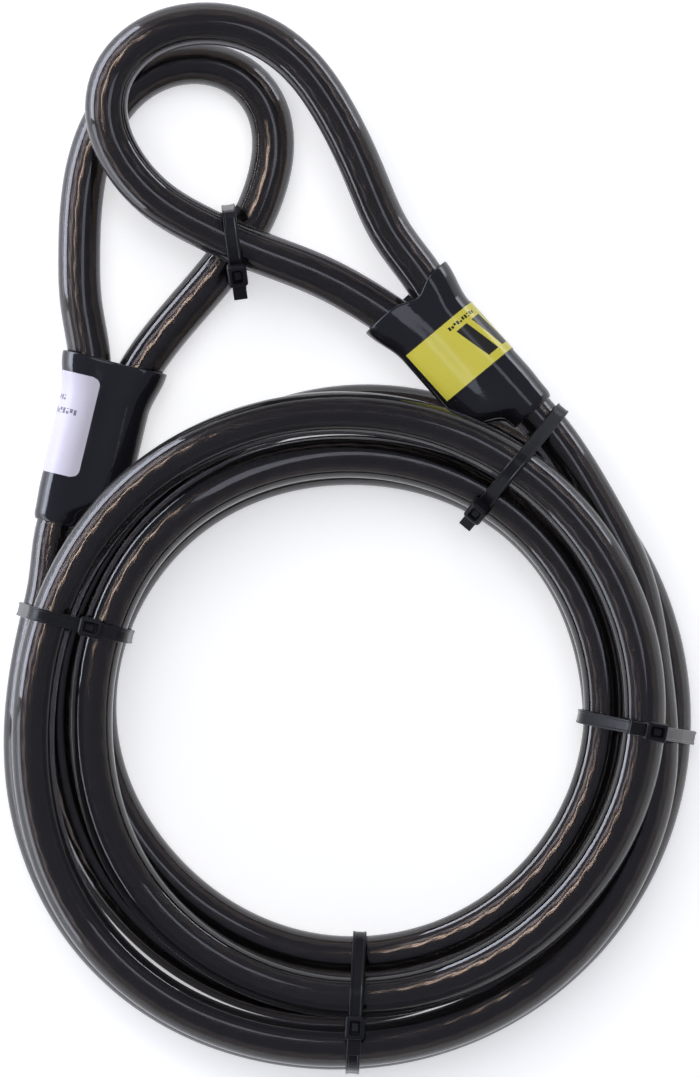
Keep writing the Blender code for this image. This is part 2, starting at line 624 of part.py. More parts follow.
def main():
    for thing in list(bpy.data.objects):
        bpy.data.objects.remove(thing, do_unlink=True)

    path, _ = route()
    left_out = nearest_sample(path, LEFT.run(EYE_SHEATH_START, SHEATH_RUN_OFFSET, False))
    left_back = nearest_sample(path, LEFT.run(EYE_SHEATH_START, SHEATH_RUN_OFFSET, True))
    coil_from = nearest_sample(path, LEFT.run(FERRULE_START - SEAT_GAP, RUN_OFFSET, True))
    coil_to = nearest_sample(path, RIGHT.run(FERRULE_START - SEAT_GAP, RUN_OFFSET, True))
    right_out = nearest_sample(path, RIGHT.run(EYE_SHEATH_START, SHEATH_RUN_OFFSET, True))
    right_back = nearest_sample(path, RIGHT.run(EYE_SHEATH_START, SHEATH_RUN_OFFSET, False))

    coil_rings = coil_stations(path, coil_from, coil_to)
    left_rings = stations_between(path, left_out, left_back, EYE_RING_SPACING)
    right_rings = stations_between(path, right_out, right_back, EYE_RING_SPACING)
    bare = [stations_between(path, a, b, BARE_RING_SPACING) for a, b in
            ((0, left_out), (left_back, coil_from), (coil_to, right_out), (right_back, len(path) - 1))]
    core_rings = np.unique(np.concatenate((bare[0], left_rings, bare[1], coil_rings, bare[2],
                                           right_rings, bare[3])))

    sheath = plain_material("smoky_pvc", (0.02, 0.018, 0.018), 0.12, 0.0, 0.8)
    steel = plain_material("galvanised_wire", (0.30, 0.27, 0.23), 0.35, 0.9)
    rubber = plain_material("gloss_black_moulding", (0.012, 0.012, 0.015), 0.22)
    nylon = plain_material("black_nylon", (0.012, 0.012, 0.014), 0.38)
    alloy = plain_material("pressed_aluminium", (0.62, 0.63, 0.65), 0.35, 1.0)
    white = plain_material("white_paper", (0.70, 0.66, 0.73), 0.45)
    yellow = plain_material("yellow_film", (0.62, 0.55, 0.07), 0.35)

    bore = CORE_RADIUS + SEAT_GAP
    pieces = []
    for name, rings in (("coil_sheath", coil_rings), ("eye_sheath_left", left_rings),
                        ("eye_sheath_right", right_rings)):
        pieces.append((tube(name, path, rings, SHEATH_RADIUS, SHEATH_SIDES, bore, CORE_SIDES), sheath))
    pieces.append((tube("wire_core", path, core_rings, CORE_RADIUS, CORE_SIDES), steel))
    pieces.append((make_ferrule("ferrule_left", LEFT), alloy))
    pieces.append((make_ferrule("ferrule_right", RIGHT), alloy))
    pieces.append((make_boot("boot_left", LEFT), rubber))
    pieces.append((make_boot("boot_right", RIGHT), rubber))
    pieces.append((make_sticker("label_white", LEFT, WHITE_START, WHITE_LENGTH, WHITE_FROM, WHITE_TO,
                                WHITE_CORNER), white))
    pieces.append((make_sticker("label_yellow", RIGHT, YELLOW_START, YELLOW_LENGTH, YELLOW_FROM,
                                YELLOW_TO, YELLOW_CORNER), yellow))
    lines = [path] + [faceted_path(path, rings) for rings in (coil_rings, left_rings, right_rings)]
    surface = np.concatenate([sheath_surface(line) for line in lines])
    for name, place, bearing, reach, head_at, tail_outward in TIES:
        pieces.append((make_tie(name, surface, laid(*place), bearing, reach * PITCH, head_at * PITCH,
                                tail_outward), nylon))

    root = bpy.data.objects.new("cable_root", None)
    bpy.context.scene.collection.objects.link(root)
    bpy.context.view_layer.update()
    corners = np.array([thing.matrix_world @ Vector(corner) for thing, _ in pieces
                        for corner in thing.bound_box])
    middle = (corners.min(axis=0) + corners.max(axis=0)) / 2
    for thing in list(bpy.data.objects):
        if thing is not root:
            thing.parent = root
    for thing, material in pieces:
        thing.data.materials.append(material)
    root.location = (-middle[0], -middle[1], -corners[:, 2].min())

    length = float(np.linalg.norm(np.diff(path, axis=0), axis=1).sum())
    print(f"cable length {length:.0f} mm")
    print(f"root offset {' '.join(f'{value / MM:.3f}' for value in root.location)} mm")
    for name, rings in (("coil", coil_rings), ("left eye", left_rings), ("right eye", right_rings)):
        print(f"least gap of the {name} to itself {least_gap(path, rings):.2f} mm")


main()
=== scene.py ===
# %% [markdown]
# # A looped security cable, coiled and tied
#
# The object is a thick steel wire rope in a smoky clear plastic sheath, bent back into an eye at
# each end. It was coiled by hand, laid flat and bound with black nylon ties. This file builds how it
# looks, on top of a imported model whose sizes are already fixed. So the first step is to load that
# model.

# %% Load the fixed model
import math

import bpy
import numpy as np
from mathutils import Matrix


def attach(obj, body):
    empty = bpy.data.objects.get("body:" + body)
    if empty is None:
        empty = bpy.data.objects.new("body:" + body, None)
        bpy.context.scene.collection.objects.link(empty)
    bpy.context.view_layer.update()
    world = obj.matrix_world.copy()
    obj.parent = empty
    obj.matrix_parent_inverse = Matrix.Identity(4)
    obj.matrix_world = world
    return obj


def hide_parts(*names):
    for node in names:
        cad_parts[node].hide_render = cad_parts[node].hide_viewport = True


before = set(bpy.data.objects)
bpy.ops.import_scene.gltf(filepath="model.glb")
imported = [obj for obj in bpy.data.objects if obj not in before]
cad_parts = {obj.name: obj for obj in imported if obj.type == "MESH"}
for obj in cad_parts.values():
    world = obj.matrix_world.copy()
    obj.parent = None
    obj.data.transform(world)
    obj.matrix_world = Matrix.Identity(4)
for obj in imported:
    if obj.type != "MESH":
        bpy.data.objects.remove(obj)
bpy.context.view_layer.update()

# %% [markdown]
# ## Sizes
#
# Blender works in metres, and a cable is easier to think about in millimetres, so each size is
# written in millimetres times MM. The cable's diameter is the size that everything else hangs on:
# the turns lie one cable apart, and the boots are moulded round two cables side by side.

# %% Named sizes of the cable, its boots and its ties
MM = 0.001
SHEATH_RADIUS = 7.5 * MM
ROPE_RADIUS = 3.85 * MM
PITCH = 15.7 * MM                 # one turn to the next
FLOOR_HEIGHT = 9.0 * MM           # centre of the lowest turns, lying on the ties' straps
RING_RADIUS = 100 * MM
RINGS_PER_TURN = 28

RUN_OFFSET = 6.2 * MM             # each of a boot's two cables from its middle line
BOOT_RADIUS = 9.6 * MM
BOOT_LENGTH = 60 * MM
COLLAR_RADIUS = 9.1 * MM
COLLAR_LENGTH = 3 * MM
SHOULDER_LENGTH = 10.5 * MM
FLARE_LENGTH = 16 * MM
MOUTH_WIDEN = 3.1 * MM
BOOT_WALL = 1.35 * MM
FERRULE_START, FERRULE_END = 14 * MM, 44 * MM
FERRULE_GAP = 0.3 * MM            # the coil's sheath stops this far short of a ferrule
EYE_SHEATH_START = 55 * MM
RUN_START = -5 * MM               # a boot's standing cable lies straight from before the neck
RUN_PINS = 6

STRAP_WIDTH = 4.8 * MM
STRAP_THICKNESS = 1.2 * MM
ROOT_SHIFT = np.array((-0.859, -61.455, 0.014)) * MM     # coil's centre to the model's origin

# %% [markdown]
# ## The route of the cable
#
# A cable is stiff, so its centre line is one smooth curve. A natural cubic spline is that curve: it
# is how a thin springy strip lies when it is pinned at a few points. The hand-laid turns are written
# as how far out and how far up each eighth of a turn lies, in cable pitches, because that is how
# they were read from the photograph. The two eyes and the leads into the boots are a few pinned
# points each.

# %% A spring line through pinned points
def spring_line(pins, spacing):
    """Natural cubic spline: curvature is linear between pins, and none at both ends.

    The unknown bends come from one tridiagonal system, and each sample is the usual cubic of its
    cell.
    """
    pins = np.asarray(pins, float)
    gaps = np.linalg.norm(np.diff(pins, axis=0), axis=1)
    at = np.concatenate(([0.0], np.cumsum(gaps)))
    slopes = np.diff(pins, axis=0) / gaps[:, None]
    system = np.diag(np.concatenate(([1.0], 2 * (gaps[:-1] + gaps[1:]), [1.0])))
    system += np.diag(np.concatenate(([0.0], gaps[1:])), 1)
    system += np.diag(np.concatenate((gaps[:-1], [0.0])), -1)
    load = np.zeros_like(pins)
    load[1:-1] = 6 * np.diff(slopes, axis=0)
    bend = np.linalg.solve(system, load)
    wanted = np.linspace(0.0, at[-1], int(at[-1] / spacing) + 1)
    cell = np.clip(np.searchsorted(at, wanted, side="right") - 1, 0, len(gaps) - 1)
    gap = gaps[cell][:, None]
    left, done = (at[cell + 1] - wanted)[:, None], (wanted - at[cell])[:, None]
    line = (bend[cell] * left ** 3 + bend[cell + 1] * done ** 3) / (6 * gap)
    line += (pins[cell] / gap - bend[cell] * gap / 6) * left
    return line + (pins[cell + 1] / gap - bend[cell + 1] * gap / 6) * done


# %% How the hand laid the turns: outward and up, in pitches, at each eighth of a turn
TURN_LAY = np.array((
    (0.892, 0.0), (1.293, 0.0), (1.096, 0.0), (0.924, 0.0), (0.815, 0.0), (0.752, 0.0), (0.561, 0.0),
    (0.102, 0.669), (0.115, 0.713), (0.203, 0.032), (0.096, 0.0), (-0.290, 0.0), (-0.662, 0.0),
    (-0.605, 0.0), (-0.739, 0.0), (-0.650, 0.0), (-0.682, 0.0), (-0.949, 0.01), (-0.955, 0.30),
    (-0.853, 0.86), (-0.662, 1.030), (-0.541, 1.030), (-0.575, 1.035), (-0.497, 1.561),
    (-0.618, 1.465), (-0.318, 0.955), (-0.100, 1.032), (-0.019, 1.624), (0.191, 1.990),
    (0.305, 1.880), (0.385, 1.620), (0.573, 1.605), (0.662, 1.565), (1.157, 1.045), (0.988, 1.040),
    (0.809, 1.030), (0.529, 1.020)))
LAY_START, LAY_STEP = 180.0, 45.0


def laid(bearing, outward, up):
    """Points given by bearing, and by pitches outward from the ring's mean circle and up."""
    radius, angle = RING_RADIUS + outward * PITCH, np.radians(bearing)
    height = FLOOR_HEIGHT + up * PITCH
    return np.stack((radius * np.cos(angle), radius * np.sin(angle), height), axis=-1)


def laid_turns(degrees):
    """Centre line at many bearings: a Catmull-Rom cubic through the lay, turned round the ring."""
    stations = TURN_LAY
    slopes = np.empty_like(stations)
    slopes[1:-1] = (stations[2:] - stations[:-2]) / 2
    slopes[0], slopes[-1] = stations[1] - stations[0], stations[-1] - stations[-2]
    place = (degrees - LAY_START) / LAY_STEP
    cell = np.clip(np.floor(place).astype(int), 0, len(stations) - 2)
    t = (place - cell)[:, None]
    lay = ((2 * t ** 3 - 3 * t ** 2 + 1) * stations[cell] + (t ** 3 - 2 * t ** 2 + t) * slopes[cell]
           + (3 * t ** 2 - 2 * t ** 3) * stations[cell + 1] + (t ** 3 - t ** 2) * slopes[cell + 1])
    return laid(degrees, lay[:, 0], np.maximum(lay[:, 1], 0.0))


# %% Where each boot lies
class Boot:
    """A boot's own axes: along it from its neck, across it to the right, and up.

    The neck's place is a bearing and pitches outward; height, mouth_spread and notch are in mm.
    """

    def __init__(self, neck, height, degrees, standing_side, mouth_spread, notch):
        angle = math.radians(degrees)
        self.neck = np.append(laid(*neck, 0.0)[:2], height * MM)
        self.axis = np.array((math.cos(angle), math.sin(angle), 0.0))
        self.right = np.array((math.sin(angle), -math.cos(angle), 0.0))
        self.standing_side = standing_side
        self.mouth_spread, self.notch = mouth_spread * MM, notch * MM

    def place(self, along, right, up=0.0):
        """World points, without the model's shift, of points given in the boot's axes."""
        along, right, up = (np.asarray(part, float)[..., None] for part in (along, right, up))
        return self.neck + along * self.axis + right * self.right + up * np.array((0, 0, 1.0))

    def run(self, standing):
        """The straight run of one of its two cables, then its point in the mouth."""
        side = self.standing_side if standing else -self.standing_side
        start = RUN_START if standing else FERRULE_START
        along = np.append(np.linspace(start, FERRULE_END, RUN_PINS), BOOT_LENGTH)
        offset = np.append(np.full(RUN_PINS, RUN_OFFSET), self.mouth_spread)
        return self.place(along, side * offset)


LEFT = Boot(neck=(145.64, 1.068), height=9.6, degrees=76.5, standing_side=-1,
            mouth_spread=9.3, notch=0.4)
RIGHT = Boot(neck=(59.69, 1.178), height=24.8, degrees=132.0, standing_side=1,
             mouth_spread=9.0, notch=3.2)

# %% The eyes and the leads: bearing, outward and up
def pinned(*places):
    return laid(*np.array(places).T)


LEFT_EYE = pinned(
    (123.04, 4.648, 0.013), (120.42, 5.581, 0.0), (117.47, 6.624, 0.0), (113.90, 7.703, 0.0),
    (110.15, 8.421, -0.013), (106.31, 8.709, -0.025), (102.68, 8.601, -0.025),
    (99.61, 8.133, -0.013), (97.80, 7.388, 0.0), (97.59, 6.546, 0.0), (98.82, 5.684, 0.0),
    (101.69, 4.786, 0.0), (106.73, 3.966, 0.0), (112.71, 3.366, 0.013))
LEFT_LEAD_IN = pinned((155.52, 1.007, 0.013), (164.64, 0.844, 0.0), (173.92, 0.843, 0.0))
RIGHT_LEAD_OUT = pinned((12.12, 0.458, 1.025), (25.52, 0.653, 1.038), (39.76, 0.881, 1.019))
RIGHT_EYE = pinned(
    (85.00, 4.436, 0.975), (88.30, 5.674, 0.994), (91.49, 7.138, 1.006), (94.61, 8.296, 1.019),
    (98.30, 9.079, 1.032), (102.32, 9.447, 1.038), (106.66, 9.407, 1.038),
    (110.33, 8.846, 1.038), (112.11, 7.999, 1.038), (112.16, 6.973, 1.038),
    (110.45, 5.935, 1.038), (106.73, 5.024, 1.038), (101.38, 4.221, 1.032),
    (94.07, 3.496, 0.994))

# %% The whole route, from one dead end to the other
LAY_MARGIN = 1.0                  # degrees kept clear of the lay's two ends
step = 360.0 / RINGS_PER_TURN
last_bearing = LAY_START + LAY_STEP * (len(TURN_LAY) - 1)
first_ring = math.ceil((LAY_START + LAY_MARGIN) / step)
last_ring = math.floor((last_bearing - LAY_MARGIN) / step)
route = spring_line(np.concatenate((
    LEFT.run(False), LEFT_EYE[::-1], LEFT.run(True)[::-1], LEFT_LEAD_IN,
    laid_turns(np.arange(first_ring, last_ring + 1) * step),
    RIGHT_LEAD_OUT, RIGHT.run(True), RIGHT_EYE, RIGHT.run(False)[::-1])), 1 * MM)


def nearest(point):
    """Number of the route's sample that is closest to a point."""
    return int(np.argmin(np.linalg.norm(route - point, axis=1)))


def stretch_length(first, last):
    """Length of the route between two samples."""
    return float(np.linalg.norm(np.diff(route[first:last + 1], axis=0), axis=1).sum())


def eye_ends(boot):
    """The two samples in a boot's mouth between which its eye's own sheath lies."""
    return [nearest(boot.place(EYE_SHEATH_START, side * MOUTH_OFFSET)) for side in (1, -1)]


MOUTH_OFFSET = SHEATH_RADIUS + 0.4 * MM       # each cable from the boot's middle line there
left_out, left_back = eye_ends(LEFT)
right_out, right_back = eye_ends(RIGHT)
coil_from = nearest(LEFT.place(FERRULE_START - FERRULE_GAP, -RUN_OFFSET))
coil_to = nearest(RIGHT.place(FERRULE_START - FERRULE_GAP, RUN_OFFSET))
print(f"cable {stretch_length(0, len(route) - 1):.3f} m, "
      f"coiled {stretch_length(coil_from, coil_to):.3f} m, "
      f"eyes {stretch_length(left_out, left_back):.3f} and "
      f"{stretch_length(right_out, right_back):.3f} m")

# %% [markdown]
# ## Camera, floor and light
#
# The photograph looks straight down from far away, so the camera hangs above the middle of the
# picture with a long lens. Glossy black plastic is seen almost only by what it mirrors: windows low
# on the left and on the right draw the fine bluish lines along the tubes, and a weak strip overhead
# draws another. The steel inside is seen by a warm lamp that shows through the clear plastic and
# lights nothing. A soft panel overhead lights what is opaque. The glossy table is white for the
# camera, in mirrors and through the plastic, and it still takes the object's shadow, because only a
# part of its white is its own.

# %% Camera
camera_data = bpy.data.cameras.new("camera")
camera = bpy.data.objects.new("camera", camera_data)
bpy.context.scene.collection.objects.link(camera)
bpy.context.scene.camera = camera
CAMERA_HEIGHT = 4.0
VIEW_HEIGHT = 377.9 * MM          # what the picture spans at the height of the view's centre
VIEW_CENTRE = (-0.6 * MM, 0.7 * MM, 20 * MM)
SENSOR = 24.0
camera.location = (VIEW_CENTRE[0], VIEW_CENTRE[1], VIEW_CENTRE[2] + CAMERA_HEIGHT)
camera_data.sensor_fit = "VERTICAL"
camera_data.sensor_height = SENSOR
camera_data.lens = SENSOR * CAMERA_HEIGHT / VIEW_HEIGHT
camera_data.clip_end = 50.0


# %% Shader arithmetic
class Link:
    """An output socket that can be added, multiplied and so on; each step adds its Math node."""

    def __init__(self, finish, socket):
        self.finish, self.socket = finish, socket

    def _math(self, operation, *values):
        node = self.finish.node("ShaderNodeMath", {"operation": operation}, values)
        return Link(self.finish, node.outputs[0])

    def __add__(self, other): return self._math("ADD", self, other)
    def __sub__(self, other): return self._math("SUBTRACT", self, other)
    def __rsub__(self, other): return self._math("SUBTRACT", other, self)
    def __mul__(self, other): return self._math("MULTIPLY", self, other)
    def __truediv__(self, other): return self._math("DIVIDE", self, other)
    def __rtruediv__(self, other): return self._math("DIVIDE", other, self)
    def __gt__(self, other): return self._math("GREATER_THAN", self, other)
    def __lt__(self, other): return self._math("LESS_THAN", self, other)
    def __mod__(self, other): return self._math("FLOORED_MODULO", self, other)
    def sine(self): return self._math("SINE", self)
    def floor(self): return self._math("FLOOR", self)
    def least(self, other): return self._math("MINIMUM", self, other)
    def most(self, other): return self._math("MAXIMUM", self, other)
    __radd__, __rmul__ = __add__, __mul__

    def ramp(self, low, high):
        """0 below low, 1 above high and smooth in between."""
        node = self.finish.node("ShaderNodeMapRange", {"interpolation_type": "SMOOTHSTEP"},
                                (self, low, high))
        return Link(self.finish, node.outputs[0])


SOCKETS = {"ior": "IOR", "transmission": "Transmission Weight", "sheen": "Sheen Weight",
           "specular": "Specular IOR Level"}


class Finish:
    """A material under construction, starting from its Principled shader."""

    def __init__(self, name, **constants):
        self.material = bpy.data.materials.new(name)
        self.material.use_nodes = True
        self.tree = self.material.node_tree
        self.shader = self.tree.nodes["Principled BSDF"]
        self.set(**constants)

    def plug(self, socket, value):
        if isinstance(value, Link):
            self.tree.links.new(value.socket, socket)
        elif isinstance(value, tuple) and len(value) == 3 and socket.type == "RGBA":
            socket.default_value = (*value, 1.0)
        else:
            socket.default_value = value

    def node(self, kind, settings=(), values=()):
        """Any node: its settings are set first, then its sockets by order or by name."""
        node = self.tree.nodes.new(kind)
        for key, value in dict(settings).items():
            setattr(node, key, value)
        named = values.items() if isinstance(values, dict) else enumerate(values)
        for key, value in named:
            self.plug(node.inputs[key], value)
        return node

    def out(self, kind, settings=(), values=(), output=0):
        return Link(self, self.node(kind, settings, values).outputs[output])

    def set(self, **inputs):
        """Set or link the shader's inputs: base_color stands for Base Color, and so on."""
        for key, value in inputs.items():
            socket = SOCKETS.get(key, key.replace("_", " ").title())
            self.plug(self.shader.inputs[socket], value)

    def position(self):
        return self.out("ShaderNodeTexCoord", output="Object")

    def uv(self):
        """The two coordinates of the piece's own UV map, in the units they were written in."""
        where = self.out("ShaderNodeTexCoord", output="UV")
        split = self.node("ShaderNodeSeparateXYZ", values=(where,))
        return Link(self, split.outputs[0]), Link(self, split.outputs[1])

    def noise(self, scale, detail=2.0, stretch=None):
        """Noise over the piece in its own metres, squeezed by a number for each axis."""
        where = self.position()
        if stretch:
            where = self.out("ShaderNodeMapping", values={"Vector": where, "Scale": stretch})
        return self.out("ShaderNodeTexNoise",
                        values={"Vector": where, "Scale": scale, "Detail": detail})

    def mix(self, factor, first, second):
        """Colour between two colours; a Mix node's sockets 0, 6, 7 and output 2 are its colours'."""
        node = self.node("ShaderNodeMix", {"data_type": "RGBA"})
        for number, value in ((0, factor), (6, first), (7, second)):
            self.plug(node.inputs[number], value)
        return Link(self, node.outputs[2])

    def bump(self, height, distance):
        """Relief of the given height in metres, fed to the shader's Normal."""
        relief = self.out("ShaderNodeBump", values={"Height": height, "Distance": distance,
                                                    "Strength": 1.0})
        self.set(normal=relief)


# %% Floor
FLOOR_HALF = 3.0
corners = [(x * FLOOR_HALF, y * FLOOR_HALF, 0.0) for x, y in ((-1, -1), (1, -1), (1, 1), (-1, 1))]
floor_mesh = bpy.data.meshes.new("floor")
floor_mesh.from_pydata(corners, [], [(0, 1, 2, 3)])
floor = bpy.data.objects.new("floor", floor_mesh)
bpy.context.scene.collection.objects.link(floor)
floor.location.z = -0.05 * MM     # a hair under the lowest straps

pale = Finish("pale_floor", base_color=(0.80, 0.80, 0.80), roughness=0.25, specular=0.5)
rays = pale.node("ShaderNodeLightPath").outputs
shown = Link(pale, rays["Is Camera Ray"])
for kind in ("Is Glossy Ray", "Is Transmission Ray"):
    shown = shown.most(Link(pale, rays[kind]))
pale.set(emission_color=pale.mix(shown, (0.0, 0.0, 0.0), (1.0, 1.0, 1.0)), emission_strength=0.50)
floor_mesh.materials.append(pale.material)

# %% World: white at the horizon and below, bluish grey higher up
HAZE_FROM, HAZE_TO = 0.07, 0.22   # height in the view's direction, 1 straight up
HORIZON, ZENITH = (1.0, 1.0, 1.0, 1.0), (0.24, 0.25, 0.31, 1.0)
world = bpy.data.worlds.new("studio")
bpy.context.scene.world = world
world.use_nodes = True
sky = world.node_tree
direction = sky.nodes.new("ShaderNodeTexCoord")
split = sky.nodes.new("ShaderNodeSeparateXYZ")
rise = sky.nodes.new("ShaderNodeMapRange")
rise.interpolation_type = "SMOOTHSTEP"
rise.inputs[1].default_value, rise.inputs[2].default_value = HAZE_FROM, HAZE_TO
sky_mix = sky.nodes.new("ShaderNodeMix")
sky_mix.data_type = "RGBA"
sky_mix.inputs[6].default_value, sky_mix.inputs[7].default_value = HORIZON, ZENITH
sky.links.new(direction.outputs["Generated"], split.inputs[0])
sky.links.new(split.outputs["Z"], rise.inputs[0])
sky.links.new(rise.outputs[0], sky_mix.inputs[0])
sky.links.new(sky_mix.outputs[2], sky.nodes["Background"].inputs["Color"])
bpy.context.scene.view_settings.view_transform = "Standard"


# %% Lamps
def panel(name, bearing, elevation, distance, width, height, radiance, colour,
          mirrored=True, through=True, lights=True):
    """A rectangular lamp that faces the object from a bearing and an elevation, in degrees.

    A lamp of radiance L and area A gives out pi L A watts. One that is not mirrored has no
    reflection, one that is not seen through clear plastic only lights what is opaque, and one that
    does not light leaves opaque surfaces dark.
    """
    data = bpy.data.lights.new(name, "AREA")
    data.shape, data.size, data.size_y = "RECTANGLE", width, height
    data.energy, data.color = math.pi * radiance * width * height, colour
    lamp = bpy.data.objects.new(name, data)
    bpy.context.scene.collection.objects.link(lamp)
    around, up = math.radians(bearing), math.radians(elevation)
    lamp.location = (distance * math.cos(up) * math.cos(around),
                     distance * math.cos(up) * math.sin(around), distance * math.sin(up))
    lamp.rotation_euler = (math.pi / 2 - up, 0.0, around + math.pi / 2)
    lamp.visible_camera = False
    lamp.visible_glossy, lamp.visible_transmission = mirrored, through
    lamp.visible_diffuse = lights


panel("window_left", 150, 9, 1.6, 1.8, 0.60, 8.5, (0.80, 0.84, 1.0))
panel("window_far_left", 203, 8, 1.6, 1.2, 0.50, 3.5, (0.84, 0.87, 1.0))
panel("window_right", 45, 5, 1.6, 0.7, 0.34, 5, (0.84, 0.88, 1.0))
panel("strip_overhead", 42, 74, 1.6, 0.8, 0.30, 1.8, (0.80, 0.84, 1.0))
panel("warm_lamp", 148, 48, 1.6, 1.0, 0.28, 31, (1.0, 0.92, 0.80), mirrored=False, lights=False)
panel("soft_fill", 110, 68, 2.2, 1.8, 1.8, 2.5, (1.0, 0.985, 0.96),
      mirrored=False, through=False)


# %% [markdown]
# ## Surfaces from numpy grids
#
# Each piece is a grid of points: one direction runs along it, the other round it. Neighbouring
# points make the quads, and the two ends are closed with one face each. A last test adds up the
# volume that the faces enclose: where it is negative the piece is inside out, and every face is
# turned round.

# %% From grids of points to a piece
def grid_faces(rows, columns, closed_along, closed_around):
    """Quads (i, j), (i, j+1), (i+1, j+1), (i+1, j) of a grid, with the UV steps of their corners."""
    i, j = np.meshgrid(np.arange(rows if closed_along else rows - 1),
                       np.arange(columns if closed_around else columns - 1), indexing="ij")
    steps_i, steps_j = np.stack((i, i, i + 1, i + 1), -1), np.stack((j, j + 1, j + 1, j), -1)
    return (steps_i % rows) * columns + steps_j % columns, steps_i, steps_j


def signed_volume(points, quads):
    """Sum over the faces of a . (b x c) / 6, each quad as two triangles."""
    a, b, c, d = (points[quads[:, k]] for k in range(4))
    doubled = np.einsum("ij,ij->i", a, np.cross(b, c)) + np.einsum("ij,ij->i", a, np.cross(c, d))
    return float(doubled.sum() / 6)


def build(name, grids, sharp=45.0):
    """One piece from several shells; each is (points, closed_along, closed_around, u, v).

    u holds one number for each column edge and v one for each row edge; both may be None. A shell
    that is closed round but not along gets its two end faces.
    """
    all_points, all_faces, all_uv, first = [], [], [], 0
    for points, closed_along, closed_around, u, v in grids:
        rows, columns = points.shape[:2]
        flat = points.reshape(-1, 3)
        quads, steps_i, steps_j = (part.reshape(-1, 4) for part in grid_faces(
            rows, columns, closed_along, closed_around))
        u = np.arange(columns + 1) / columns if u is None else u
        v = np.arange(rows + 1) / rows if v is None else v
        uv = np.stack((u[steps_j], v[steps_i]), -1)
        turned = closed_around and signed_volume(flat - flat.mean(axis=0), quads) < 0
        if turned:
            quads, uv = quads[:, ::-1], uv[:, ::-1]
        faces = (quads + first).tolist()
        all_uv.append(uv.reshape(-1, 2))
        if closed_around and not closed_along:
            start, end = np.arange(columns), (rows - 1) * columns + np.arange(columns)
            for cap in (start, end[::-1]) if turned else (start[::-1], end):
                faces.append((cap + first).tolist())
                level = np.full(columns, v[cap[0] // columns])
                all_uv.append(np.stack((u[cap % columns], level), -1))
        all_points.append(flat)
        all_faces += faces
        first += len(flat)
    mesh = bpy.data.meshes.new(name)
    mesh.from_pydata(np.concatenate(all_points) + ROOT_SHIFT, [], all_faces)
    layer = mesh.uv_layers.new(name="surface")
    layer.data.foreach_set("uv", np.concatenate(all_uv).ravel().astype(np.float32))
    mesh.shade_smooth()
    mesh.set_sharp_from_angle(angle=math.radians(sharp))
    piece = bpy.data.objects.new(name, mesh)
    bpy.context.scene.collection.objects.link(piece)
    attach(piece, "root")
    return piece


def tube_frames(line):
    """Sideways and up directions along a line that never stands upright."""
    tangent = np.gradient(line, axis=0)
    tangent /= np.linalg.norm(tangent, axis=1)[:, None]
    sideways = np.cross(tangent, (0.0, 0.0, 1.0))
    sideways /= np.linalg.norm(sideways, axis=1)[:, None]
    return sideways, np.cross(sideways, tangent)


def sweep(line, angle, radius):
    """Points at an angle and a radius round a line; both may change along it and round it."""
    sideways, up = tube_frames(line)
    outward = (np.cos(angle)[..., None] * sideways[:, None]
               + np.sin(angle)[..., None] * up[:, None])
    return line[:, None] + radius[..., None] * outward


def metres_along(line):
    """Distance from the start to each row, and one more for a closing row."""
    gaps = np.linalg.norm(np.diff(line, axis=0), axis=1)
    at = np.concatenate(([0.0], np.cumsum(gaps)))
    return np.append(at, at[-1])


# %% [markdown]
# ## The smoky sheath
#
# The sheath is clear PVC with a little black in it. It acts as a lens: it enlarges the steel rope
# inside and bends the white table into thin light bands at its edges. Only real refraction gives
# that, so each stretch is one solid body of the sheath's outer radius with the rope lying inside it,
# and the shader lets light through with a dark tint. A faint swell of the skin makes the mirrored
# lines waver.

# %% Smoky PVC
smoky = Finish("smoky_pvc_clear", base_color=(0.036, 0.034, 0.039), ior=1.53, transmission=1.0,
               sheen=0.08)
scuffs = smoky.noise(55.0, 4.0)
smoky.set(roughness=scuffs.ramp(0.45, 0.85) * 0.10 + 0.035)
smoky.bump(smoky.noise(32.0, 1.0), 0.3 * MM)

# %% Sheath tubes
SHEATH_SIDES = 32
SHEATH_EVERY = 3                  # route samples to one ring


def round_steps(count):
    """Angles of one full turn, the first not repeated at the end."""
    return np.linspace(0, 2 * math.pi, count, endpoint=False)


def round_tube(line, sides):
    """Grid of the cable's outer skin along a line."""
    angle = np.broadcast_to(round_steps(sides), (len(line), sides))
    return sweep(line, angle, np.full(angle.shape, SHEATH_RADIUS))


def sheath(name, first, last, node):
    """A round tube along the route, closed at both ends."""
    line = route[np.unique(np.append(np.arange(first, last, SHEATH_EVERY), last))]
    grid = round_tube(line, SHEATH_SIDES)
    piece = build(name, [(grid, False, True, None, metres_along(line))])
    piece.data.materials.append(smoky.material)
    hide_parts(node)
    path = line + ROOT_SHIFT


sheath("cable_coil", coil_from, coil_to, "coil_sheath")
sheath("cable_eye_left", left_out, left_back, "eye_sheath_left")
sheath("cable_eye_right", right_out, right_back, "eye_sheath_right")

# %% [markdown]
# ## The steel rope
#
# Six strands are laid round a core, and each strand is itself laid from fine wires that slope the
# other way. The six strands are real shape: low rounded ridges that turn slowly along the rope, with
# grease and plastic filling the rest of the valleys. The wires are too fine for that, so they are a
# very faint relief in the finish that follows the rope's own UV map: once round it in u, metres
# along it in v.

# %% Rope outline, turned along the route
STRANDS = 6
STRAND_DEPTH = 0.06 * MM
ROPE_LAY = 62 * MM                # one turn of a strand
ROPE_SIDES = 48
ROPE_EVERY = 2                    # route samples to one ring


def strand_outline(angle):
    """Distance from the rope's middle to its surface: six rounded ridges."""
    return ROPE_RADIUS - STRAND_DEPTH * (0.5 - 0.5 * np.cos(STRANDS * angle))


